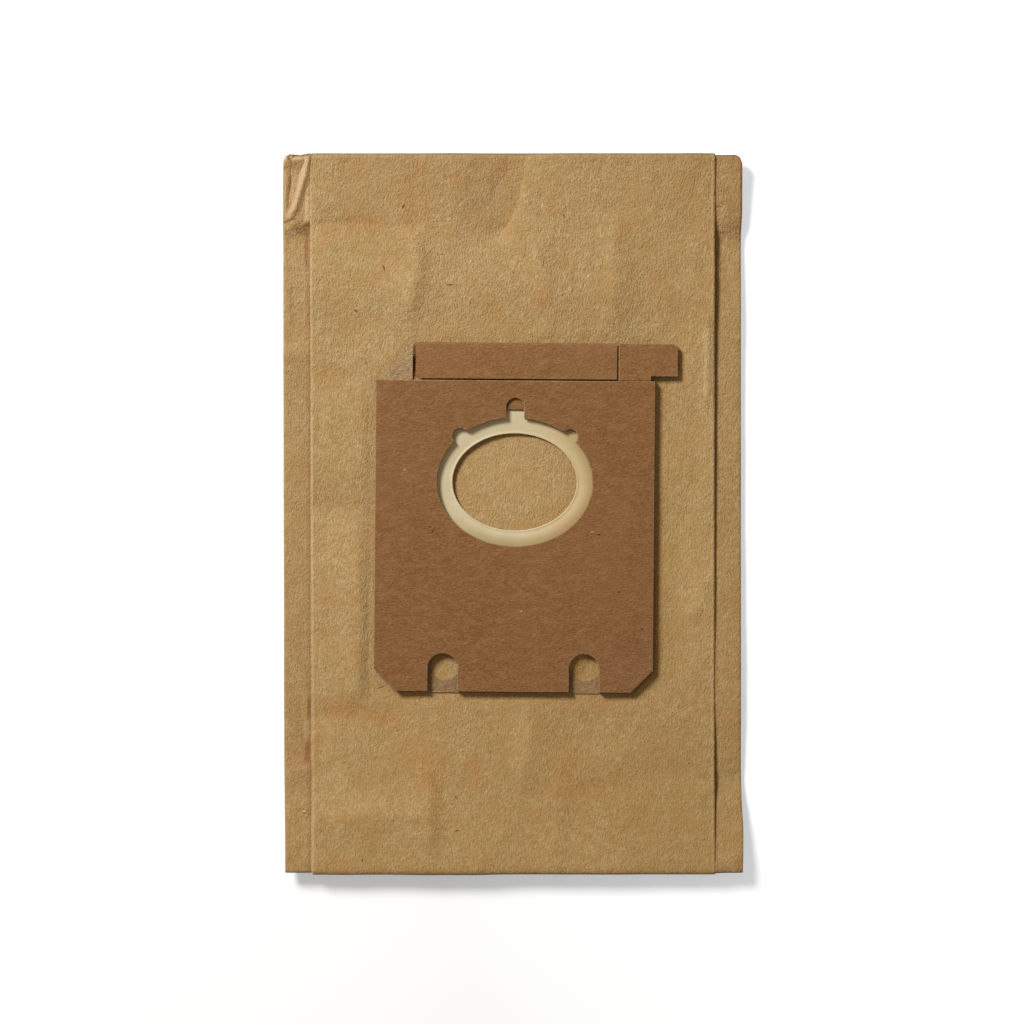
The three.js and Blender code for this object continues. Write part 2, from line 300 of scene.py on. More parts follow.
kraft = {
    "pale": (0.494, 0.348, 0.182),
    "deep": (0.352, 0.206, 0.062),
    "red": (0.410, 0.230, 0.088),
    # dark fibres, and painted shadow in the slit beside the strip
    "fibreAndShade": (0.130, 0.066, 0.026),
    "fleckAndGlint": (0.620, 0.480, 0.300),
    # pale wear, and painted highlights on lit folds, edges and ridges
    "wearAndHighlight": (0.690, 0.530, 0.325),
    # these multiply the paper
    "sunlit": (1.11, 1.19, 1.35),      # towards the upper left
    "ruddy": (1.0, 0.88, 0.80),        # in the redder blotches
    "paleAndLit": (1.16, 1.21, 1.32),       # paler: some the paper's own tone, and painted light where the panel turns towards the lamp
    "rubbedAndShaded": (0.560, 0.330, 0.260),   # darker: real stains and rubbing, and painted shade in creases, seams, slits and along turned edges
    "darkEnds": (0.36, 0.34, 0.29),      # darker along its folded ends
    "roughness": 0.9,
    "specular": 0.2,
    "bumpDepth": 0.37,
    "pebbleShare": 0.6,
    "lumpShare": 1.2,
    "rougher": 1.3,                    # the relief grows this much towards the top
    "sunWay": (135, -60, 170),         # degrees, and from where to where in millimetres
    "reliefWay": (90, -90, 60),
}
kraftGrains = {                        # size in millimetres, detail, stretch, turn, roughness
    "strokes": (0.50, 2, 1.8, 86, 0.6),
    "pebble": (1.0, 2, 1.5, 86, 0.6),
    "lumps": (4.5, 3, 1.2, 86, 0.6),
    "mottle": (0.55, 3, 2.6, 86, 0.7),
    "blush": (3.4, 4, 1.0, 0, 0.6),
    "cloud": (11, 4),
    "patch": (42, 2),
    "specks": (0.5, 1, 3.5, 20),
}
kraftShades = [                        # pattern, where it starts and is full, strength, colour
    ("mottle", 0.35, 0.65, 1, "pale"), ("blush", 0.40, 0.66, 0.55, "deep"),
    ("cloud", 0.48, 0.66, 0.60, "red"), ("patch", 0.42, 0.75, 0.30, "deep"),
    ("specks", 0.74, 0.82, 0.8, "fibreAndShade"),
]
# dark fibres; the long mark at (414.8, 358) is painted shadow in the slit beside the strip
paperFibresAndSlitShade = [
    ((403.5, 207), 3.0, 1.3, 60), ((384, 268), 3.6, 1.0, 105), ((450, 285), 4.2, 0.9, 0),
    ((356, 311), 3.2, 1.0, -35), ((414.8, 358), 17, 2.2, 92), ((366, 363), 2.4, 0.8, 50), ((564, 216), 2.6, 0.9, -50),
    ((614, 324), 1.6, 0.8, 45), ((457, 830), 3.0, 0.8, 15), ((456, 797), 2.2, 0.8, 110),
    ((363, 859), 2.2, 0.8, 70), ((381, 687.5), 5.0, 0.7, 18), ((304.5, 813.5), 1.2, 1.0, 0),
]
# pale flecks; the one at (720.6, 205.5) is a painted glint on the lit side of a small nick
paperFlecksAndGlint = [((588, 276), 2.4, 1.0, 60), ((720.6, 205.5), 1.5, 1.0, 20), ((304, 811), 1.6, 1.0, 0),
               ((542, 206), 3.0, 0.9, 75), ((470, 262), 2.6, 0.9, 60), ((651, 448), 2.0, 0.8, 40)]


def kraftPaper():
    material, tree, shader = startMaterial("kraftPaper", kraft["roughness"], kraft["specular"])
    place = objectPlace(tree)
    fields = {name: grain(tree, place, *values) for name, values in kraftGrains.items()}
    colour = kraft["deep"]
    for name, low, high, share, shade in kraftShades:
        if name == "specks":
            colour = tint(tree, colour, slope(tree, place, *kraft["sunWay"]), kraft["sunlit"], "MULTIPLY")
        colour = veil(tree, colour, fields[name], low, high, share, kraft[shade])
    # painted marks: redder blotches, paler stretches with painted light, stains with painted shade, darker ends
    for name in ("ruddy", "paleAndLit", "rubbedAndShaded", "darkEnds"):
        colour = painted(tree, colour, name, kraft[name], "MULTIPLY")
    # pale wear with painted highlights
    colour = painted(tree, colour, "wearAndHighlight", kraft["wearAndHighlight"])
    colour = addSpecks(tree, colour, paperFibresAndSlitShade, kraft["fibreAndShade"])
    colour = addSpecks(tree, colour, paperFlecksAndGlint, kraft["fleckAndGlint"])
    tree.links.new(colour, shader.inputs["Base Color"])
    height = combine(tree, "MULTIPLY_ADD", fields["pebble"], kraft["pebbleShare"], fields["strokes"])
    height = combine(tree, "MULTIPLY_ADD", fields["lumps"], kraft["lumpShare"], height)
    height = combine(tree, "MULTIPLY", height, slope(tree, place, *kraft["reliefWay"], 1, kraft["rougher"]))
    addBump(tree, shader, height, kraft["bumpDepth"])
    return material


card = {
    "slitShade": (0.50, 0.15, 0.05),       # painted shade: red-brown laid on the card in the slits beside the folded strip, where shadow falls
    "roughness": 0.85,
    "specular": 0.25,
    "bumpDepth": 0.40,
    "lumpShare": 0.4,
    "darkShare": 0.4, "speckShare": 0.35, "fleckShare": 1.7,    # of the card's own colours
    "lowerWay": (-90, -20, 45),        # degrees, and from where to where in millimetres
}
cardGrains = {
    "lumps": (0.9, 2, 1.3, 1), "fine": (0.55, 2, 1.6, 2, 0.65), "mottle": (1.7, 3, 2.4, 2),
    "blush": (3.2, 2, 1.6, 2), "cloud": (24, 2), "specks": (0.35, 1, 2.0, 10),
}
cardShades = [
    ("fine", 0.36, 0.64, 1, "pale"), ("mottle", 0.40, 0.66, 0.58, "deep"), ("blush", 0.50, 0.70, 0.55, "pale"),
    ("cloud", 0.35, 0.75, 0.3, "pale"), ("specks", 0.72, 0.80, 0.7, "dark"),
]
boardSpecks = [((599, 534.5), 2.2, 1.0, 10), ((619, 592), 2.0, 1.0, 0), ((642, 629), 1.8, 1.0, 40),
               ((433, 531), 2.6, 1.0, 60), ((430, 527), 1.6, 0.9, 0), ((560, 648), 1.6, 0.8, 20)]
boardFlecks = [((592, 532), 1.8, 1.0, 0), ((521, 611), 2.0, 1.0, 30), ((405, 470), 1.6, 0.9, 0)]

# painted shade along the slits beside the folded strip: place, length, width, turn
slitShadeMarks = [((532, 379.8), 131, 3.4, -0.6), ((617.6, 362), 34, 3.4, 89.5)]


def shaded(colour, share):
    return tuple(share * part for part in colour)


def cardBoard(name, pale, deep, grainSize, stretch, depth=1.0, lower=None, shadeMarks=()):
    material, tree, shader = startMaterial(name, card["roughness"], card["specular"])
    place = objectPlace(tree)
    fibres = grain(tree, place, grainSize, 3, stretch, 1, 0.6)
    fields = {field: grain(tree, place, *values) for field, values in cardGrains.items()}
    shades = {"pale": pale, "deep": deep, "dark": shaded(deep, card["darkShare"])}
    colour = deep
    for field, low, high, share, shade in cardShades:
        colour = veil(tree, colour, fields[field], low, high, share, shades[shade])
    if lower:                      # a darker shade towards the pin slots
        colour = tint(tree, colour, slope(tree, place, *card["lowerWay"]), lower, "MULTIPLY")
    colour = addSpecks(tree, colour, boardSpecks, shaded(deep, card["speckShare"]))
    colour = addSpecks(tree, colour, boardFlecks, shaded(pale, card["fleckShare"]))
    colour = addSpecks(tree, colour, shadeMarks, card["slitShade"])
    tree.links.new(colour, shader.inputs["Base Color"])
    height = combine(tree, "MULTIPLY_ADD", fields["lumps"], card["lumpShare"], fibres)
    addBump(tree, shader, height, card["bumpDepth"] * depth)
    return material


rubber = {
    "roughness": 0.5, "specular": 0.35,
    "deep": (0.568, 0.482, 0.302), "pale": (0.620, 0.535, 0.345),
    "shade": (0.66, 0.59, 0.43), "rightShade": (0.93, 0.86, 0.73),     # these multiply it: painted shade at the lip's lower right and towards the right
    "cloud": (9, 3), "fine": (0.6, 2), "bumpDepth": 0.012,
}


def creamRubber():
    material, tree, shader = startMaterial("creamRubber", rubber["roughness"], rubber["specular"])
    place = objectPlace(tree)
    colour = veil(tree, rubber["deep"], grain(tree, place, *rubber["cloud"]), 0.35, 0.7, 1, rubber["pale"])
    for name in ("shade", "rightShade"):
        colour = painted(tree, colour, name, rubber[name], "MULTIPLY")
    tree.links.new(colour, shader.inputs["Base Color"])
    addBump(tree, shader, grain(tree, place, *rubber["fine"]), rubber["bumpDepth"])
    return material


kraftMaterial = kraftPaper()
brownMaterial = cardBoard("brownCard", (0.282, 0.143, 0.0600), (0.186, 0.077, 0.0220), 0.50, 2.0)
stripMaterial = cardBoard("stripCard", (0.298, 0.156, 0.0630), (0.202, 0.087, 0.0245), 0.50, 1.8)
brownEdge = cardBoard("brownCardEdge", (0.340, 0.140, 0.054), (0.220, 0.080, 0.026), 0.5, 6.0)
# paler rounded rims of the cards: raised fibres, and a painted highlight along the rims
wearAndHighlightRim = cardBoard("wearAndHighlightCardRim", (0.380, 0.245, 0.125), (0.270, 0.150, 0.065), 0.4, 3.0)
greyMaterial = cardBoard("greyCard", (0.470, 0.340, 0.184), (0.300, 0.190, 0.088), 0.6, 2.2, 1.3,
                         (0.72, 0.64, 0.62), slitShadeMarks)
rubberMaterial = creamRubber()
print("materials ready")


# the collar's place on the bag, in millimetres

collar = {
    "x": 0.55, "y": -8.4, "turn": -0.45,
    "width": 103.2, "height": 115, "cornerCut": 8.2,
    "mouthAbove": 20, "mouthWide": 57.4, "mouthHigh": 47.4, "lip": 5.75,
    "lipOverhang": 1.8, "paperSetBack": 1.7,
    "topNotchWide": 6.6, "topNotchReach": 31, "spacerNotchReach": 26.8,
    "sideNotchRadius": 2.85, "sideNotchOut": 20.3, "sideNotchUp": 16.9,
    "slotSpacing": 52.2, "slotRadius": 5.5, "slotRise": 8.6,
    "stripLeft": -36.9, "stripRight": 37.5, "stripCut": 0.6, "stripHeight": 13.4,
}
collarPlace = Matrix.Translation((collar["x"] * mm, collar["y"] * mm, 0)) @ Matrix.Rotation(
    math.radians(collar["turn"]), 4, "Z") @ Matrix.Scale(mm, 4)
halfWide, halfHigh = collar["width"] / 2, collar["height"] / 2
holeWide = collar["mouthWide"] - 2 * collar["lip"]
holeHigh = collar["mouthHigh"] - 2 * collar["lip"]


def level(node):                   # lowest and highest point of a CAD node, in millimetres
    low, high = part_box(node)
    return low.z / mm, high.z / mm


# the paper bag: one sheet, folded as a tube with tucked sides and both ends turned under

bag = {
    "paper": 0.26, "frontWide": 150, "tuck": 48,
    "topFlap": 29, "bottomFlap": 23.5,
    "pressGap": 0.05, "rearGap": 0.25, "frontGap": 0.15,
    "noseRadius": 0.5, "noseSteps": 10, "flapStep": 5,
    # heights above the ground along the bag, in millimetres
    "backHeights": [(-134, 7.0), (-109, 3.4), (-100, 1.7), (-60, 0.6), (0, 0.4), (55, 0.6),
                    (88, 1.3), (98, 1.4), (101.5, 1.55), (108.5, 3.6), (134, 6.1)],
    "panelHeights": [(-134, 8.2), (-109, 5.2), (-94, 4.2), (84, 4.45), (93, 4.6), (101, 4.9), (111, 5.45), (134, 7.4)],
    "panelEdge": [(-134, 0), (-100, -0.2), (-60, -0.5), (0, -0.1), (80, 0.1), (98, 0.4), (106, 0), (134, 0)],
    "rightStrip": [(-134, 0), (-95, 0.1), (-60, 0.6), (-20, 0.45), (30, 0.1), (134, 0)],
    "panelNarrow": 0.27,            # the front panel's right edge lies this much further in
    "leftNarrow": [(-134, 1.15), (-90, 1.0), (-50, 0.7), (0, 0.4), (134, 0.1)],
    "leftLift": 1.0, "rightLift": 1.3, "edgeFrom": 50, "collarRun": 3, "mouthBulge": 1.9, "mouthTilt": 0.03,
    "rowStep": 2.0, "fineRow": 0.5, "fineRun": 36, "topTrim": 0.45, "bottomTrim": 0.2,
    "stripReach": 0.0, "squareNose": 0.6,
    # how far the strips' outer edges bow out along the bag
    "leftBow": [(-134, -0.6), (-117, -0.35), (-106, -0.05), (-92, 0.2), (-70, 0.3), (-32, 0.35), (5, 0.5),
                (78, 0.6), (103, 0.65), (112, 0.5), (120, 0.4), (134, 0.15)],
    "rightBow": [(-134, 0.4), (-117, 0.75), (-106, 0.3), (-92, 0.05), (103, 0.05), (112, 0.35), (134, 0.3)],
    "backColumn": 8, "leftStripColumn": 0.32, "rightStripColumn": 0.8, "hiddenColumn": 9,
    "panelColumn": 1.6, "edgeColumn": 0.75, "foldColumns": 5,
    "cornerRound": 2.8,
    "portAbove": 2.2, "portSnap": 1.6,
    "glueGap": 0.1, "edgeRun": 0.9, "creaseRun": 1.2, "openRun": 6, "denseRun": 8.4, "hiddenRun": 2,
}

# creases in the front panel: a line of photo pixels, its rise in millimetres, how far it spreads to
# the right and left of a line that runs down the bag, and how blunt it is where that isn't the usual
usualBlunt = 0.35
creaseReach = 5                    # times its spread, where a crease has faded out
panelCreases = [
    ([(523, 146), (517, 174), (502, 230)], -1.8, (3.2, 7), 0.3),
    ([(416, 238), (420, 256), (414, 288), (411, 304)], 1.9, (4.6, 5.8), 0.2),
    ([(413.5, 156), (413.5, 234)], -0.30, (1.2, 1.6)),
    ([(614, 236), (614, 316)], 0.95, (5.0, 3.2)),
    ([(538, 240), (540, 268), (546, 300)], 0.95, (4.8, 3.4)),
    ([(306, 224), (360, 223), (412, 226)], -0.55, (2.6, 14)),
    ([(412, 227), (497, 232)], -0.22, (3.0, 12)),
    ([(363, 392), (361, 470)], 0.9, (4, 9)),
    ([(361, 500), (359, 560), (356, 690)], 1.45, (5, 10)),
    ([(410, 333), (600, 334), (660, 336)], 0.42, (4, 2.5)),
    ([(690, 342), (690, 384)], 0.4, (7, 6)),
    ([(380, 706), (640, 708)], 0.50, (3, 8)),
    ([(308, 508), (370, 510)], -1.2, (8, 14), 3.0),
    ([(308, 642), (366, 632)], -0.35, (4, 5)),
    ([(308, 374), (356, 378)], -0.75, (7, 10)),
    ([(306, 818), (420, 815)], 1.7, (7.5, 13), 1.2),
    ([(306, 716), (400, 712)], -0.70, (4, 6)),
    ([(429, 776), (432, 836)], 0.85, (1.5, 7)),
    ([(530, 726), (523, 776)], 0.8, (6, 5), 1.2),
    ([(560, 788), (558, 856)], 0.55, (2.4, 7)),
    ([(710, 322), (708, 400)], 0.55, (1.6, 2.4)),
    ([(692, 615), (711, 580)], 0.55, (3, 3)),
    ([(334, 735), (352, 775)], 0.50, (4, 4)),
    ([(576, 790), (690, 772)], -0.55, (8, 6)),
    ([(640, 812), (704, 826)], 0.45, (6, 6)),
    ([(470, 158), (452, 232)], 0.35, (4, 4)),
    ([(566, 160), (582, 236)], 0.30, (5, 5)),
    ([(650, 170), (664, 300)], 0.30, (5, 5)),
    ([(330, 170), (344, 216)], 0.28, (4, 4)),
]

# creases in the strips that stand out past the front panel
stripCreases = [
    ([(283, 357), (311, 350)], 0.85, (3.4, 4.0), 0.3),
    ([(292, 240), (296, 330)], -0.35, (4, 4)),
    ([(284, 720), (303, 719)], -0.40, (0.8, 0.8), 0.15),
    ([(284, 784), (306, 768)], 0.55, (2.4, 2.0)),
    ([(300, 700), (306, 760)], -0.40, (1.4, 2.2)),
    ([(288, 868), (302, 850)], -0.30, (0.8, 1.2)),
    ([(294, 812), (308, 808)], 0.45, (2.5, 1.5)),
    ([(719, 207), (723, 205.5)], -0.45, (0.5, 0.5), 0.15),
    ([(716, 231), (728, 232.5), (742, 240)], 0.35, (0.7, 1.2), 0.15),
    ([(718, 779), (742, 773)], -0.55, (1.6, 4.0)),
    ([(718, 868), (742, 852)], 0.6, (3.5, 2.0)),
    ([(738, 158), (738.5, 230)], 0.35, (1.3, 5), 0.3),
]

# the crumpled corner: lines of photo pixels, each with its height in millimetres
crumpleLines = [
    [(281, 148, 1.15), (281, 170, 1.15), (281, 200, 0.7), (281, 219, 0.35), (281, 224.5, -0.3), (281, 229, 0.35),
     (281, 240, 0.25), (281, 256, 0.0)],
    [(300.5, 148, 0.35), (300.5, 158, 0.30), (298.0, 177, 0.1), (292, 200, 0.0), (287, 218, 0.1)],
    [(311, 148, 1.35), (309.8, 160, 1.40), (304.4, 182, 1.55), (296.6, 208, 1.15), (291.6, 218, 0.5)],
    [(312.8, 160, 0.7), (307.4, 184, 0.85), (300.0, 209.5, 0.5), (295.0, 219, 0.1)],
    [(305, 200, 0.35), (301, 221, 0.0)],
    [(309, 200, 0.85), (309.8, 221, 1.05)],
    [(281, 224.5, -0.3), (289, 222.5, -0.45), (295, 219.5, -0.1)],
    [(281, 229, 0.35), (291, 228, 0.28), (298, 222, 0.2)],
    [(291, 228, 0.28), (293, 240, 0.12), (295, 256, 0.0)],
    [(302, 227, -0.05), (305, 236, -0.15), (308, 248, -0.1)],
    [(316, 148, 0.6), (316, 200, 0.1), (316, 224, 0.1), (316, 256, 0.0)],
    [(281, 256, 0.0), (298, 256, 0.0), (316, 256, 0.0)],
]


def buildCrumple():
    corners, heights, edges = [], [], []
    for line in crumpleLines:
        for i, (px, py, height) in enumerate(line):
            corners.append(Vector(spot(px, py)))
            heights.append(height)
            if i:
                edges.append((len(corners) - 2, len(corners) - 1))
    verts, _, faces, origins, _, _ = geometry.delaunay_2d_cdt(corners, edges, [], 0, 0.01)
    lifts = []
    for i, vert in enumerate(verts):
        if origins[i]:
            lifts.append(sum(heights[k] for k in origins[i]) / len(origins[i]))
        else:                      # where two lines cross
            near = min(range(len(corners)), key=lambda k: (corners[k] - vert).length)
            lifts.append(heights[near])
    return [tuple((verts[k].x, verts[k].y, lifts[k]) for k in face) for face in faces]


crumpleFacets = buildCrumple()


def crumpleLift(x, y):
    for (ax, ay, ah), (bx, by, bh), (cx, cy, ch) in crumpleFacets:
        area = (bx - ax) * (cy - ay) - (cx - ax) * (by - ay)
        if abs(area) < 1e-6:
            continue
        v = ((x - ax) * (cy - ay) - (cx - ax) * (y - ay)) / area
        w = ((bx - ax) * (y - ay) - (x - ax) * (by - ay)) / area
        if v >= -1e-6 and w >= -1e-6 and v + w <= 1.000001:
            return ah + v * (bh - ah) + w * (ch - ah)
    return 0


def nearest(line, x, y):           # how far a place is from a line of photo pixels, and to which side
    points = [spot(*p) for p in line]
    best, sideways = math.inf, 0
    for (ax, ay), (bx, by) in zip(points, points[1:]):
        dx, dy = bx - ax, by - ay
        size = math.hypot(dx, dy)
        part = min(max(((x - ax) * dx + (y - ay) * dy) / (size * size), 0), 1)
        away = math.hypot(x - ax - part * dx, y - ay - part * dy)
        if away < best:
            best = away
            sideways = ((x - ax) * dy - (y - ay) * dx) / size
    return best, sideways


def creaseLift(creases, x, y):
    total = 0
    for line, rise, spreads, *rest in creases:
        away, sideways = nearest(line, x, y)
        if away < creaseReach * max(spreads):
            reach = mix(*spreads, 0.5 + 0.5 * sideways / max(away, 1e-6))
            blunt = rest[0] if rest else usualBlunt
            total += rise * math.exp(-(math.hypot(away, blunt) - blunt) / reach)
    return total


def alongKeys(keys, y):            # a smooth curve through heights given along the bag
    keys = sorted(keys)
    y = min(max(y, keys[0][0]), keys[-1][0])
    slopes = [(b[1] - a[1]) / (b[0] - a[0]) for a, b in zip(keys, keys[1:])]
    tangents = [slopes[0]]
    for before, after in zip(slopes, slopes[1:]):
        tangents.append(2 * before * after / (before + after) if before * after > 0 else 0)
    tangents.append(slopes[-1])
    for i in range(len(slopes)):
        (y0, z0), (y1, z1) = keys[i], keys[i + 1]
        if y <= y1:
            run = y1 - y0
            t = (y - y0) / run
            return (z0 * (1 + 2 * t) * (1 - t) ** 2 + z1 * t * t * (3 - 2 * t)
                    + run * tangents[i] * t * (1 - t) ** 2 - run * tangents[i + 1] * t * t * (1 - t))


bagLow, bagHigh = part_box("paper_bag")
endY = bagHigh.y / mm
backX = bagHigh.x / mm
frontX = bag["frontWide"] / 2
creaseX = backX - bag["tuck"]
pressed = 4 * bag["paper"] + 3 * bag["pressGap"]
foldLines = {1: endY - bag["topTrim"] - bag["noseRadius"] - pressed,
             -1: endY - bag["bottomTrim"] - bag["noseRadius"] - pressed}
panelLevel = level("back_board")[0] - bag["glueGap"]


def endState(side, flap):          # rows from the flap's free edge round the fold
    nose, shut, foldLine = bag["noseRadius"], (bag["pressGap"],) * 3, foldLines[side]
    atFold = alongKeys(bag["backHeights"], side * foldLine)
    freeEdge = endY - flap
    rows = []
    steps = round((foldLine - freeEdge) / bag["flapStep"])
    for i in range(steps):
        part = i / steps
        rows.append({"y": side * mix(freeEdge, foldLine, part), "up": (0, -1), "gaps": shut,
                     "z": mix(pressed + 0.03, atFold - 2 * nose, part), "free": 0})
    for i in range(bag["noseSteps"] + 1):
        turn = math.pi * (1 - i / bag["noseSteps"])
        out, up = side * math.sin(turn) ** bag["squareNose"], math.cos(turn)
        rows.append({"y": side * foldLine + nose * out, "z": atFold - nose + nose * up,
                     "up": (out, up), "gaps": shut, "free": max(up, 0)})
    return rows


def mainRow(y):
    back = alongKeys(bag["backHeights"], y)
    top = alongKeys(bag["panelHeights"] + [(collarTop, panelLevel), (collarLow, panelLevel)], y)
    flapEnd = endY - (bag["topFlap"] if y > 0 else bag["bottomFlap"])
    opened = smooth((flapEnd - abs(y)) / bag["openRun"])
    rear = mix(bag["pressGap"], bag["rearGap"], opened)
    front = mix(bag["pressGap"], bag["frontGap"], opened)
    pocket = max(top - back - 4 * bag["paper"] - rear - front, bag["pressGap"])
    return {"y": y, "z": back, "up": (0, 1), "gaps": (rear, pocket, front), "free": 1}


collarTop = collar["y"] + halfHigh + collar["stripCut"] + collar["stripHeight"] + 2
collarLow = collar["y"] - halfHigh - 2


def arc(steps):
    return [math.pi * i / steps for i in range(1, steps)]


def columns(start, stop, step):
    count = max(1, round(abs(stop - start) / step))
    return [mix(start, stop, i / count) for i in range(count + 1)]


def halfSection(stripColumn):      # half of the folded tube's section, from the back's middle
    fold = bag["foldColumns"]
    side, front, crease = backX - bag["edgeRun"], frontX - bag["edgeRun"], creaseX + bag["creaseRun"]
    hidden, dense = frontX - bag["hiddenRun"], frontX - bag["denseRun"]
    return ([("back", x) for x in columns(0, side, bag["backColumn"])]
            + [("sideFold", a) for a in arc(fold)]
            + [("rearGusset", x) for x in columns(side, hidden, stripColumn)]
            + [("rearGusset", x) for x in columns(hidden, crease, bag["hiddenColumn"])[1:]]
            + [("gussetCrease", a) for a in arc(fold)]
            + [("frontGusset", x) for x in columns(crease, front, bag["hiddenColumn"])]
            + [("frontFold", a) for a in arc(fold)]
            + [("panel", x) for x in columns(front, dense, bag["edgeColumn"])]
            + [("panel", x) for x in columns(dense, 0, bag["panelColumn"])[1:]])


def sectionPoint(layer, amount, gaps):
    thick = bag["paper"]
    rear, pocket, front = gaps
    levels = {"back": thick / 2, "rearGusset": 1.5 * thick + rear,
              "frontGusset": 2.5 * thick + rear + pocket, "panel": 3.5 * thick + rear + pocket + front}
    if layer in levels:
        return amount, levels[layer]
    below, above, edge, way = {
        "sideFold": ("back", "rearGusset", backX - thick / 2, 1),
        "gussetCrease": ("rearGusset", "frontGusset", creaseX - thick / 2, -1),
        "frontFold": ("frontGusset", "panel", frontX - thick / 2, 1),
    }[layer]
    radius = (levels[above] - levels[below]) / 2
    return (edge + way * radius * (math.sin(amount) - 1),
            levels[below] + radius * (1 - math.cos(amount)))


layerShare = {                     # how much of the panel's and of the strip's creases a layer takes
    "back": (0, 0.9), "sideFold": (0, 0.95), "rearGusset": (0, 1), "gussetCrease": (0, 0),
    "frontGusset": (0.8, 0), "frontFold": (0.9, 0), "panel": (1, 0),
}


def clearOfCollar(x, y):           # 0 under the collar, 1 well away from it
    turn = math.radians(collar["turn"])
    dx, dy = x - collar["x"], y - collar["y"]
    across = dx * math.cos(turn) + dy * math.sin(turn)
    along = dy * math.cos(turn) - dx * math.sin(turn)
    high = halfHigh + (collar["stripCut"] + collar["stripHeight"] if across > collar["stripLeft"] - 14 else 0)
    away = math.hypot(max(abs(across) - halfWide - 1, 0),
                      max(along - high, -halfHigh - 1 - along, 0))
    return smooth(away / bag["collarRun"])


def waves(x, y, *parts):           # height, length across and along, and seed of each wave
    return sum(high * noise.noise(Vector((x / across, y / along, seed))) for high, across, along, seed in parts)


def paperLift(layer, x, y):
    panelShare, stripShare = layerShare[layer]
    middle = 1 - smooth((abs(y) - 70) / 35)
    outward = smooth((abs(x) - bag["edgeFrom"]) / (backX - bag["edgeFrom"]))
    lift = bag["leftLift" if x < 0 else "rightLift"] * middle * outward
    if panelShare:
        low = alongKeys(bag["panelEdge"], y) * smooth((abs(x) - 56) / 19)
        wave = waves(x, y, (0.55, 28, 31, 3.1), (0.20, 9, 11, 7.7), (0.06, 4, 5, 1.3))
        lift += panelShare * clearOfCollar(x, y) * (creaseLift(panelCreases, x, y) + wave + low)
    outside = smooth((abs(x) - frontX + 2.5) / 2)
    if stripShare and outside:
        wave = waves(x, y, (0.30, 15, 17, 5.3), (0.09, 4, 5, 2.9))
        crumple = crumpleLift(x, y) if x < 0 and y > 90 else 0
        raised = alongKeys(bag["rightStrip"], y) if x > 0 else 0
        lift += stripShare * outside * (creaseLift(stripCreases, x, y) + wave + crumple + raised)
    if layer == "back":            # the back swells up in the middle, under the mouth
        swell = smooth((38 - abs(x)) / 16) * smooth((75 - abs(y)) / 30)
        wave = waves(x, y, (0.25, 8, 9, 1.7), (0.1, 3, 3, 4.1))
        tilt = bag["mouthTilt"] * (x - y + collar["mouthAbove"] + collar["y"])
        lift += swell * (bag["mouthBulge"] + wave + tilt)
    return lift


def bagPoint(layer, amount, side, row):
    x, height = sectionPoint(layer, amount, row["gaps"])
    x *= side
    out, up = row["up"]
    y = row["y"] + height * out
    z = row["z"] + height * up
    lift = row["free"] * paperLift(layer, x, y)
    y += lift * out + bag["stripReach"] * out * layerShare[layer][1] * smooth((abs(x) - frontX) / 2)
    z += lift * up
    bow = alongKeys(bag["leftBow" if side < 0 else "rightBow"], y)
    x += side * bow * layerShare[layer][1] * smooth((abs(x) - frontX - 1) / 6)
    if layer in ("frontFold", "panel", "frontGusset"):
        narrow = bag["panelNarrow"] if side > 0 else alongKeys(bag["leftNarrow"], y)
        x -= side * narrow * smooth((abs(x) - frontX + 12) / 12)
    beyond = abs(x) - (backX - bag["cornerRound"])
    if y > 0 and beyond > 0:       # worn round corners at the top end
        near = smooth((y - endY + 12) / 12)
        y -= near * (bag["cornerRound"] - math.sqrt(max(bag["cornerRound"] ** 2 - beyond ** 2, 0)))
    return x * mm, y * mm, z * mm


def rowPlaces():
    fine = foldLines[1] - bag["fineRun"]
    body = [mainRow(y) for y in columns(-foldLines[-1], fine, bag["rowStep"])]
    body += [mainRow(y) for y in columns(fine, foldLines[1], bag["fineRow"])[1:]]
    return (endState(-1, bag["bottomFlap"])[:-1] + body
            + endState(1, bag["topFlap"])[::-1][1:])


def loft(bm, count, rows, place):  # rings of points, each joined to the one before
    mark = bm.verts.layers.int.new("place")
    ring = []
    for i in range(count):
        vert = bm.verts.new(place(i, rows[0]))
        vert[mark] = i
        ring.append(vert)
    edges = [bm.edges.new((ring[i], ring[(i + 1) % count])) for i in range(count)]
    for row in rows[1:]:
        made = bmesh.ops.extrude_edge_only(bm, edges=edges)["geom"]
        edges = [g for g in made if isinstance(g, bmesh.types.BMEdge)]
        for vert in (g for g in made if isinstance(g, bmesh.types.BMVert)):
            vert.co = place(vert[mark], row)
    return mark


def paperBag():
    section = [(layer, amount, 1) for layer, amount in halfSection(bag["rightStripColumn"])]
    section += [(layer, amount, -1) for layer, amount in halfSection(bag["leftStripColumn"])[-2:0:-1]]
    bm = bmesh.new()
    mark = loft(bm, len(section), rowPlaces(), lambda i, row: bagPoint(*section[i], row))
    cutPort(bm, {i for i, entry in enumerate(section) if entry[0] == "panel"}, mark)
    bmesh.ops.recalc_face_normals(bm, faces=bm.faces)
    for face in bm.faces:
        face.smooth = True
    paintMarksLightAndShade(bm)
    piece = pieceFrom(bm, "foldedPaperBag", [kraftMaterial])
    thicken = piece.modifiers.new("paperThickness", "SOLIDIFY")
    thicken.thickness = bag["paper"] * mm
    thicken.offset = 0
    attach(piece, "root")
    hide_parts("paper_bag")


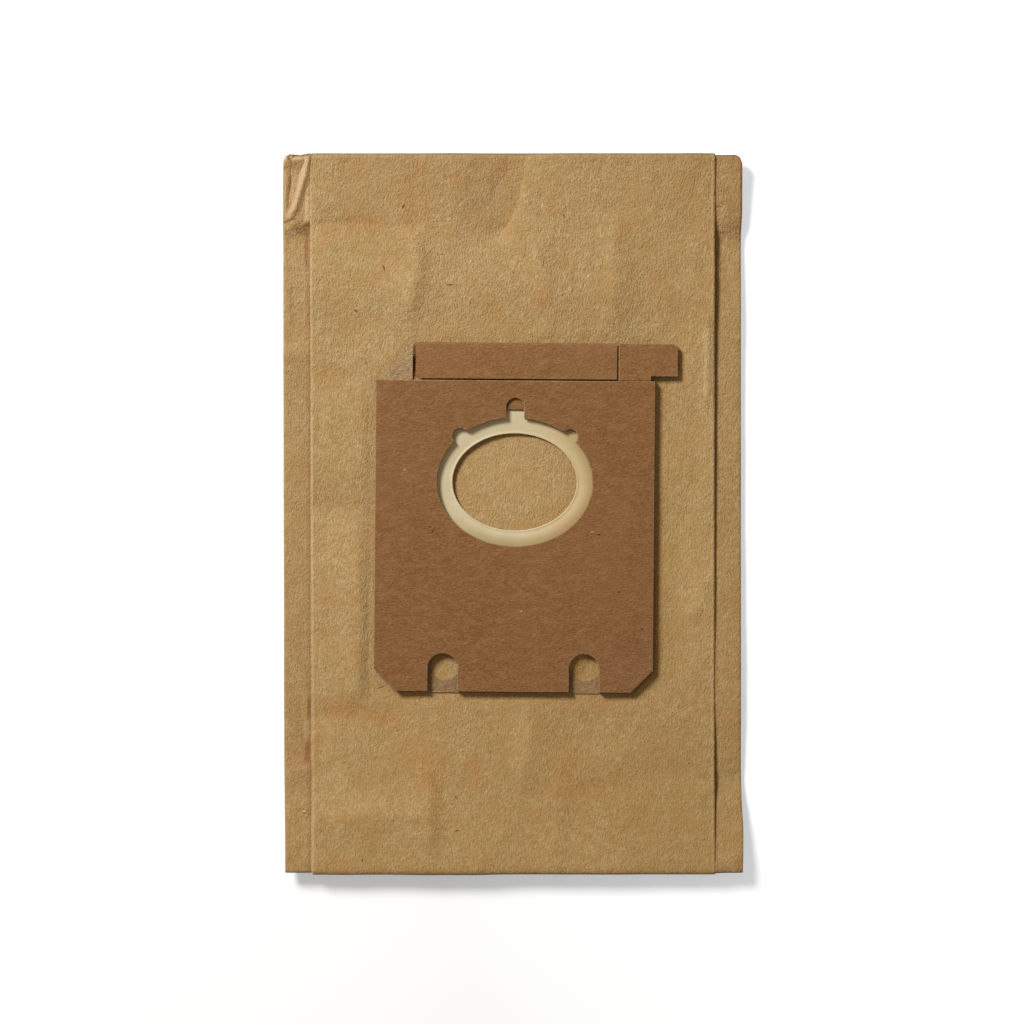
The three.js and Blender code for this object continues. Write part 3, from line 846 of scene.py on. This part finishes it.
def cutPort(bm, panelPlaces, mark):
    centre = collarPlace @ Vector((0, collar["mouthAbove"], 0))
    grow = collar["lipOverhang"] + collar["paperSetBack"]
    wide, high = (holeWide / 2 + grow) * mm, (holeHigh / 2 + grow) * mm

    def inside(co):
        return ((co.x - centre.x) / wide) ** 2 + ((co.y - centre.y) / high) ** 2

    cut = [v for v in bm.verts if v[mark] in panelPlaces and v.co.z > bag["portAbove"] * mm and inside(v.co) < 1]
    bmesh.ops.delete(bm, geom=cut, context="VERTS")
    for vert in bm.verts:
        if vert.is_boundary and vert[mark] in panelPlaces and 1 <= inside(vert.co) < bag["portSnap"]:
            share = 1 / math.sqrt(inside(vert.co))
            vert.co.x = centre.x + (vert.co.x - centre.x) * share
            vert.co.y = centre.y + (vert.co.y - centre.y) * share


# darker lines, some real stains and rubbing, most painted shade in creases, seams, slits and along turned edges: photo
# pixels, width in pixels, strength
markCore = 0.35                    # the part of the width that has the full strength
stainsAndShade = [
    ([(295, 160), (294, 176), (292.5, 190)], 4.6, 0.95),
    ([(291, 188), (288.5, 206)], 4, 0.45),
    ([(300, 231), (306, 226)], 5, 0.6),
    ([(306, 234), (306.5, 262)], 3.5, 0.55),
    ([(309, 700), (309, 718)], 3, 0.75),
    ([(308, 743), (307, 761)], 4, 0.75),
    ([(288, 160), (292, 158)], 1.6, 0.9),
    ([(310.5, 159), (310, 184)], 1.2, 0.8),
    ([(306.5, 184), (300.5, 206), (295, 219)], 2.6, 0.30),
    ([(285, 222.5), (295, 218.5)], 1.0, 0.7),
    ([(293, 158.8), (304, 158.8)], 1.8, 0.45),
    ([(308, 226), (307, 340)], 3.2, 0.36),
    ([(307.5, 340), (307.5, 640), (309, 880)], 2.4, 0.20),
    ([(308.8, 300), (309.6, 640), (310.8, 880)], 1.3, 0.50),
    ([(297, 150), (297, 880)], 15, 0.13),
    ([(335, 190), (480, 184)], 36, 0.13),
    ([(315, 490), (362, 490)], 22, 0.10),
    ([(294, 238), (296, 332)], 11, 0.16),
    ([(715.6, 150), (715.6, 880)], 1.6, 0.25),
    ([(741, 158), (741.5, 240)], 1.5, 0.8),
    ([(736, 160), (734, 236)], 9, 0.22),
    ([(718, 231), (730, 232)], 1.0, 0.6),
    ([(718.5, 207.5), (721.5, 206.5)], 1.0, 0.9),
    ([(414.2, 348), (414.2, 379)], 1.3, 1.0),
    ([(371, 382), (411, 342)], 4.5, 0.22),
    ([(286, 720), (302, 719.5)], 1.0, 0.4),
]
# pale lines, given the same way: some wear, most painted highlights on lit folds, edges and ridges
paleWearAndHighlights = [
    ([(306, 160), (302, 180), (294.5, 205), (289.5, 217)], 3, 0.42),
    ([(285.5, 172), (285, 216)], 1.2, 0.45),
    ([(308, 198), (305.5, 218)], 2.0, 0.35),
    ([(285, 219.5), (292, 216)], 1.2, 0.35),
    ([(310.6, 156), (311.0, 420)], 1.1, 0.22),
    ([(311.0, 420), (311.4, 640), (312.6, 872)], 1.3, 0.38),
    ([(706, 332), (705.5, 392)], 2.4, 0.22),
    ([(712.6, 156), (712.6, 872)], 1.1, 0.22),
    ([(286, 161), (287, 160)], 1.2, 0.9),
    ([(291, 158), (292, 157.6)], 1.2, 0.9),
]
# redder blotches in the paper: place, reach across and along, strength
blotchFade = 1.5
blotches = [
    ((430, 769), (17, 16), 1.0), ((343, 710), (20, 15), 1.0), ((387, 720), (18, 11), 0.95),
    ((367, 224), (30, 9), 0.85), ((543, 296), (9, 15), 0.85), ((437, 805), (8, 17), 0.8),
    ((499, 172), (13, 12), 0.8), ((317, 737), (4, 20), 0.8), ((458, 179), (11, 10), 0.8),
    ((587, 788), (38, 13), 0.8), ((415, 212), (16, 21), 0.8), ((415, 171), (11, 11), 0.75),
    ((568, 761), (22, 13), 0.75), ((482, 862), (14, 4), 0.7), ((322, 635), (9, 9), 0.65),
    ((702, 304), (5, 9), 0.6), ((324, 374), (9, 9), 0.6), ((621, 234), (8, 19), 0.6),
    ((473, 774), (11, 18), 0.6), ((431, 280), (9, 10), 0.6), ((357, 652), (4, 18), 0.55),
    ((335, 863), (16, 4), 0.55), ((357, 584), (4, 46), 0.55), ((446, 231), (14, 7), 0.55),
    ((498, 755), (9, 8), 0.55), ((628, 279), (6, 22), 0.5), ((563, 736), (8, 10), 0.5),
]
# paler stretches, given the same way: some the paper's own tone, most painted light where the paper turns towards the
# lamp
paleAndLitPlaces = [((692, 580), (24, 110), 0.9), ((514, 482), (50, 40), 0.35), ((704, 430), (9, 90), 0.5),
               ((338, 552), (22, 34), 0.35), ((700, 598), (7, 12), 0.6), ((524, 742), (14, 30), 0.6),
               ((370, 800), (44, 12), 0.35)]
# the folded ends are darker at the very edge: millimetres in from it, and strength
endDarkening = [(0, 1.0), (0.25, 0.95), (0.62, 0.38), (1.0, 0.19), (1.4, 0.13), (2.2, 0.09), (6, 0)]
bottomDarkening = 0.45                 # the bottom end has this share of it
stripInset = 0.6                   # the side strips end this much before the front panel


def markStrength(marks, x, y):
    strength = 0
    for line, wide, depth in marks:
        away = nearest(line, x, y)[0] / (wide * pixel)
        if away < 1 + markCore:
            strength = max(strength, depth * (1 - smooth(away - markCore)))
    return strength


def blotchStrength(places, x, y):
    strength = 0
    for place, (across, along), depth in places:
        cx, cy = spot(*place)
        away = math.hypot((x - cx) / across, (y - cy) / along) / pixel
        strength += depth * (1 - smooth((away - 0.1) / blotchFade))
    return min(strength, 1)


# each vertex gets its marks: stains and painted shade, wear and painted highlights, blotches, paler stretches and
# painted light, darker ends
def paintMarksLightAndShade(bm):
    layers = [bm.verts.layers.float.new(name) for name in ("rubbedAndShaded", "wearAndHighlight", "ruddy", "paleAndLit", "darkEnds")]
    for vert in bm.verts:
        x, y = vert.co.x / mm, vert.co.y / mm
        end = endY - (bag["topTrim"] if y > 0 else bag["bottomTrim"])
        if abs(x) > frontX:
            end -= stripInset
        strengths = (markStrength(stainsAndShade, x, y), markStrength(paleWearAndHighlights, x, y), blotchStrength(blotches, x, y),
                     blotchStrength(paleAndLitPlaces, x, y),
                     alongKeys(endDarkening, end - abs(y)) * (1 if y > 0 else bottomDarkening))
        for layer, strength in zip(layers, strengths):
            vert[layer] = strength


# card shapes, in the collar's own frame in millimetres

boards = {"edgeRound": 0.27, "tagCut": 0.55, "tagNeck": 12, "tagWidth": 21.9, "tagGap": 1.9,
          "tagTop": 14.0, "tagCorner": 2.2, "creaseIn": -0.1, "creaseWide": 0.7, "creaseDeep": 0.2,
          "mouthSteps": 260, "notchSteps": 48, "leastStep": 0.24, "notchFrom": 20, "notchStep": 0.6}


def addLoop(bm, points, z):
    verts = [bm.verts.new((x, y, z)) for x, y in points]
    return [bm.edges.new((verts[i], verts[(i + 1) % len(verts)])) for i in range(len(verts))]


def arcPoints(x, y, radius, start, stop, steps):
    turns = [math.radians(mix(start, stop, i / steps)) for i in range(steps + 1)]
    return [(x + radius * math.cos(a), y + radius * math.sin(a)) for a in turns]


def ellipsePoints(wide, high, x, y, steps):
    turns = [2 * math.pi * i / steps for i in range(steps)]
    return [(x + wide / 2 * math.cos(a), y + high / 2 * math.sin(a)) for a in turns]


def stampCard(bm, loops, low, thick, rounding):
    edges = [edge for loop in loops for edge in addLoop(bm, loop, low)]
    bmesh.ops.triangle_fill(bm, edges=edges, use_beauty=True, use_dissolve=False)
    faces = list(bm.faces)
    bmesh.ops.recalc_face_normals(bm, faces=faces)
    raised = bmesh.ops.extrude_face_region(bm, geom=faces, use_keep_orig=True)["geom"]
    lifted = [g for g in raised if isinstance(g, bmesh.types.BMVert)]
    bmesh.ops.translate(bm, verts=lifted, vec=(0, 0, thick - rounding))
    bmesh.ops.recalc_face_normals(bm, faces=bm.faces)
    top = [g for g in raised if isinstance(g, bmesh.types.BMFace)]
    for across, up in ((0.3, 0.7), (0.7, 0.3)):        # a rim rounded in two steps
        bmesh.ops.inset_region(bm, faces=top, thickness=across * rounding, depth=up * rounding,
                               use_boundary=True, use_even_offset=True)
    # the tops, the walls, and the rounded rim, which takes the paler card standing for raised fibres and a painted
    # highlight
    for face in bm.faces:
        flat = abs(face.normal.z)
        face.material_index = 0 if flat > 0.98 else 1 if flat < 0.1 else 2


def mouthOutline(notch, straight):
    shapes = [ellipsePoints(collar["mouthWide"], collar["mouthHigh"], 0, 0, boards["mouthSteps"])]
    size, out, up = 2 * collar["sideNotchRadius"], collar["sideNotchOut"], collar["sideNotchUp"]
    for side in (-1, 1):           # of a side notch only its outer half
        points = ellipsePoints(size, size, side * out, up, boards["notchSteps"])
        shapes.append([(x, y) for x, y in points if (x - side * out) * side * out + (y - up) * up >= 0])
    shapes.append(notch)

    def within(index, x, y):
        if index == 0:
            return (2 * x / collar["mouthWide"]) ** 2 + (2 * y / collar["mouthHigh"]) ** 2 < 0.9999
        if index == 3:
            return abs(x) < collar["topNotchWide"] / 2 - 0.001 and 0 < y < straight - 0.001
        return math.hypot(x - (out if index == 2 else -out), y - up) < size / 2 - 0.001

    kept = [(x, y) for index, shape in enumerate(shapes) for x, y in shape
            if not any(within(other, x, y) for other in range(len(shapes)) if other != index)]
    kept.sort(key=lambda p: math.atan2(p[1], p[0]))
    spaced = []
    for point in kept:             # points that all but touch would spoil the rounded rim
        if not spaced or math.dist(point, spaced[-1]) > boards["leastStep"]:
            spaced.append(point)
    return [(x, y + collar["mouthAbove"]) for x, y in spaced]


def notchOutline(reach, roundEnd):
    half, bottom, step = collar["topNotchWide"] / 2, boards["notchFrom"], boards["notchStep"]
    straight = reach - half if roundEnd else reach
    sides = [(half, y) for y in columns(bottom, straight, step)]
    sides += arcPoints(0, straight, half, 0, 180, 24)[1:-1] if roundEnd else [
        (x, straight) for x in columns(half, -half, step)[1:-1]]
    return sides + [(-half, y) for y in columns(straight, bottom, step)], straight


def slotRun():                     # the plate's lower edge, with its two pin slots
    points = []
    slotY = -halfHigh + collar["slotRise"]
    for side in (-1, 1):
        x = side * collar["slotSpacing"] / 2
        radius = collar["slotRadius"]
        points.append((x - radius, -halfHigh))
        points += arcPoints(x, slotY, radius, 180, 0, 28)
        points.append((x + radius, -halfHigh))
    return points


def plateOutline(tag):
    corner = collar["cornerCut"]
    points = [(-halfWide, halfHigh), (-halfWide, -halfHigh + corner), (-halfWide + corner, -halfHigh)]
    points += slotRun()
    points += [(halfWide - corner, -halfHigh), (halfWide, -halfHigh + corner), (halfWide, halfHigh)]
    return points + tag


def tagOutline():
    left = collar["stripRight"] + boards["tagCut"]
    right = left + boards["tagWidth"]
    neck = left + boards["tagNeck"]
    top = halfHigh + boards["tagTop"]
    corner = boards["tagCorner"]
    return ([(neck, halfHigh), (neck, halfHigh + boards["tagGap"]), (right, halfHigh + boards["tagGap"])]
            + arcPoints(right - corner, top - corner, corner, 0, 90, 8)
            + [(left, top), (left, halfHigh)])


def creaseTag(bm, high):           # the pressed line that the tag hangs by
    left = collar["stripRight"] + boards["tagCut"]
    for offset in (-1, 0, 1):
        y = halfHigh - boards["creaseIn"] + offset * boards["creaseWide"] / 2
        bmesh.ops.bisect_plane(bm, geom=bm.verts[:] + bm.edges[:] + bm.faces[:], dist=0.001,
                               plane_co=(0, y, 0), plane_no=(0, 1, 0))
    for vert in bm.verts:
        onLine = abs(vert.co.y - halfHigh + boards["creaseIn"]) < 0.01
        if onLine and vert.co.z > high - 0.05 and vert.co.x > left - 0.3:
            vert.co.z -= boards["creaseDeep"]


def finishCard(bm, name, node, materials):
    bmesh.ops.transform(bm, matrix=collarPlace, verts=bm.verts)
    piece = pieceFrom(bm, name, materials)
    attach(piece, "root")
    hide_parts(node)


def plateCard(name, node, notch, tag, materials):
    bm = bmesh.new()
    low, high = level(node)
    mouth = mouthOutline(*notch)
    stampCard(bm, [plateOutline(tag), mouth], low, high - low, boards["edgeRound"])
    if tag:
        creaseTag(bm, high)
        for face in bm.faces:      # the tag's top gets the strip's paler card
            if face.material_index == 0 and face.calc_center_median().y > halfHigh + 0.3:
                face.material_index = 3
    finishCard(bm, name, node, materials)


backCard = {"shiftX": 1.0, "shiftY": -0.6, "thick": 0.4, "relief": 1.1, "stripDrop": 0.1,
            "pinSlack": 0.25, "tornLift": 2.5, "pinShiftX": 0.8, "pinShiftY": 0.5, "foldSteps": 12,
            "foldPress": 0.5}


def backBoard():
    low = level("back_board")[0]
    face = level("front_board")[1] - backCard["stripDrop"]
    radius = (face - low) / 2
    left, right = -halfWide + backCard["shiftX"], halfWide + backCard["shiftX"]
    bottom, top = -halfHigh + backCard["shiftY"], halfHigh + backCard["shiftY"]
    foldY = halfHigh + collar["stripCut"] + collar["stripHeight"] - radius * backCard["foldPress"]
    slit = collar["stripLeft"] - backCard["relief"]
    corner = collar["cornerCut"]
    outline = [(left, top), (left, bottom + corner), (left + corner, bottom), (right - corner, bottom),
               (right, bottom + corner), (right, top), (collar["stripRight"], top),
               (collar["stripRight"], foldY), (collar["stripLeft"], foldY), (collar["stripLeft"], top),
               (slit, top), (slit, top + slit - left)]
    grow = 2 * collar["lipOverhang"]
    loops = [outline, ellipsePoints(holeWide + grow, holeHigh + grow, 0, collar["mouthAbove"], 120)]
    for side in (-1, 1):
        size = 2 * (collar["slotRadius"] - backCard["pinSlack"])
        loops.append(ellipsePoints(size, size, side * collar["slotSpacing"] / 2 + backCard["pinShiftX"],
                                   -halfHigh + collar["slotRise"] + backCard["pinShiftY"], 40))
    bm = bmesh.new()
    stampCard(bm, loops, low, backCard["thick"], 0.06)
    for f in bm.faces:
        f.material_index = 0
    raiseTorn(bm, (slit, top + slit - left), (left, top), low)
    wall = max((f for f in bm.faces if f.normal.y > 0.9 and f.calc_center_median().y > foldY - 0.3),
               key=lambda f: f.calc_area())
    foldOver(bm, wall, foldY, low + radius, radius)
    finishCard(bm, "backBoard", "back_board", [greyMaterial, stripMaterial, brownEdge])


def raiseTorn(bm, tip, foot, low):  # the torn corner beside the strip curls up towards the slit
    turns = bm.edges[:] + bm.faces[:] + bm.verts[:]
    for share in (0.25, 0.5, 0.75):
        bmesh.ops.bisect_plane(bm, geom=turns, dist=0.001, plane_co=(mix(foot[0], tip[0], share), 0, 0),
                               plane_no=(1, 0, 0))
        turns = bm.edges[:] + bm.faces[:] + bm.verts[:]
    for vert in bm.verts:
        if vert.co.y > halfHigh - 0.7 and vert.co.x < tip[0] + 0.01:
            across = (vert.co.x - foot[0]) / (tip[0] - foot[0])
            up = smooth((vert.co.y - halfHigh + 0.7) / 3)
            vert.co.z += backCard["tornLift"] * up * across ** 1.5


def foldOver(bm, wall, foldY, middle, radius):
    steps = backCard["foldSteps"]
    turn = Matrix.Rotation(math.pi / steps, 3, "X")
    for step in range(steps):
        wall = bmesh.ops.extrude_discrete_faces(bm, faces=[wall])["faces"][0]
        bmesh.ops.rotate(bm, cent=(0, foldY, middle), matrix=turn, verts=wall.verts)
    lipEnd = halfHigh + collar["stripCut"]
    for run in (-0.4, lipEnd + 0.4 - foldY):
        wall = bmesh.ops.extrude_discrete_faces(bm, faces=[wall])["faces"][0]
        bmesh.ops.translate(bm, verts=wall.verts, vec=(0, run, 0))
    for f in bm.faces:
        centre = f.calc_center_median()
        outer = math.hypot(max(centre.y - foldY, 0), centre.z - middle) > radius - backCard["thick"] / 2
        if centre.z > middle or centre.y > foldY + 0.05:
            f.material_index = 1 if outer else 0
            if abs(f.normal.x) > 0.9 or f == wall:
                f.material_index = 2
        f.smooth = centre.y > foldY - 0.5 and abs(f.normal.x) < 0.5
    for edge in bm.edges:
        edge.smooth = edge.calc_face_angle(0) < 0.5
    for vert in bm.verts:          # the fold is pressed flat
        if vert.co.y > foldY:
            vert.co.y = foldY + (vert.co.y - foldY) * backCard["foldPress"]


membrane = {"margin": 8, "corner": 6, "steps": 160, "bead": 0.42, "droop": 0.35,
            "shadeWay": (0.62, -0.78)}


def roundedBoxPoint(turn, wide, high, corner):
    ux, uy = abs(math.cos(turn)), abs(math.sin(turn))
    reach = min(wide / max(ux, 1e-9), high / max(uy, 1e-9))
    cx, cy = wide - corner, high - corner
    if reach * ux > cx and reach * uy > cy:
        along = cx * ux + cy * uy
        off = cx * uy - cy * ux
        reach = along + math.sqrt(max(corner ** 2 - off ** 2, 0))
    return reach * math.cos(turn), reach * math.sin(turn)


def sealMembrane():
    low, high = level("seal_membrane")
    wide = collar["mouthWide"] / 2 + membrane["margin"]
    tall = collar["mouthHigh"] / 2 + membrane["margin"]
    lip, bead, sag = collar["lip"], membrane["bead"], membrane["droop"]
    # the section across the lip: how far out from the hole's edge, and the height
    section = [(lip + 0.8, high), (lip * 0.8, high - 0.04), (lip * 0.55, high - 0.35 * sag),
               (lip * 0.3, high - 0.75 * sag), (bead * 2.4, high - sag), (bead * 1.7, high - sag + 0.03),
               (bead * 1.2, high - sag + 0.11), (bead * 0.6, high - sag + 0.13),
               (bead * 0.15, high - sag + 0.05), (0, high - sag - 0.12), (bead * 0.15, high - sag - 0.3),
               (bead * 0.7, low - sag), (bead * 2, low - sag), (lip * 0.55, low - 0.35 * sag), (lip + 0.8, low)]

    def ringPoint(i, row):
        out, z = row
        turn = 2 * math.pi * i / membrane["steps"]
        x, y = (holeWide / 2 + (out or 0)) * math.cos(turn), (holeHigh / 2 + (out or 0)) * math.sin(turn)
        if out is None:            # on the outer rim
            x, y = roundedBoxPoint(turn, wide, tall, membrane["corner"])
        return x, y + collar["mouthAbove"], z

    bm = bmesh.new()
    loft(bm, membrane["steps"], [(None, low), (None, high)] + section + [(None, low)], ringPoint)
    bmesh.ops.remove_doubles(bm, verts=bm.verts, dist=0.001)
    bmesh.ops.recalc_face_normals(bm, faces=bm.faces)
    shade, rightShade = (bm.verts.layers.float.new(name) for name in ("shade", "rightShade"))
    for vert in bm.verts:          # painted shade: darker at the lip's lower right, as if it bent away from the light, and darker and warmer towards the right
        x, y = vert.co.x, vert.co.y - collar["mouthAbove"]
        away = max(math.hypot(x, y), 0.01)
        share = (math.hypot(2 * x / holeWide, 2 * y / holeHigh) - 1.04) / (2 * lip / holeHigh)
        facing = (x * membrane["shadeWay"][0] + y * membrane["shadeWay"][1]) / away
        vert[shade] = smooth(share / 0.8) * smooth(0.5 + 0.75 * facing)
        vert[rightShade] = smooth((x / away - 0.1) / 0.7)
    for face in bm.faces:
        face.smooth = True
    finishCard(bm, "sealMembrane", "seal_membrane", [rubberMaterial])


paperBag()
print("paper bag folded")
backBoard()
print("back board and strip ready")
sealMembrane()
print("membrane ready")
brownSides = [brownMaterial, brownEdge, wearAndHighlightRim]
plateCard("spacerBoard", "spacer_board", notchOutline(collar["spacerNotchReach"], False), [], brownSides)
plateCard("frontBoard", "front_board", notchOutline(collar["topNotchReach"], True), tagOutline(),
          brownSides + [stripMaterial])
print("boards ready")

for piece in bpy.data.objects:
    if piece.type == "MESH":
        print(piece.name, len(piece.data.polygons), "faces")
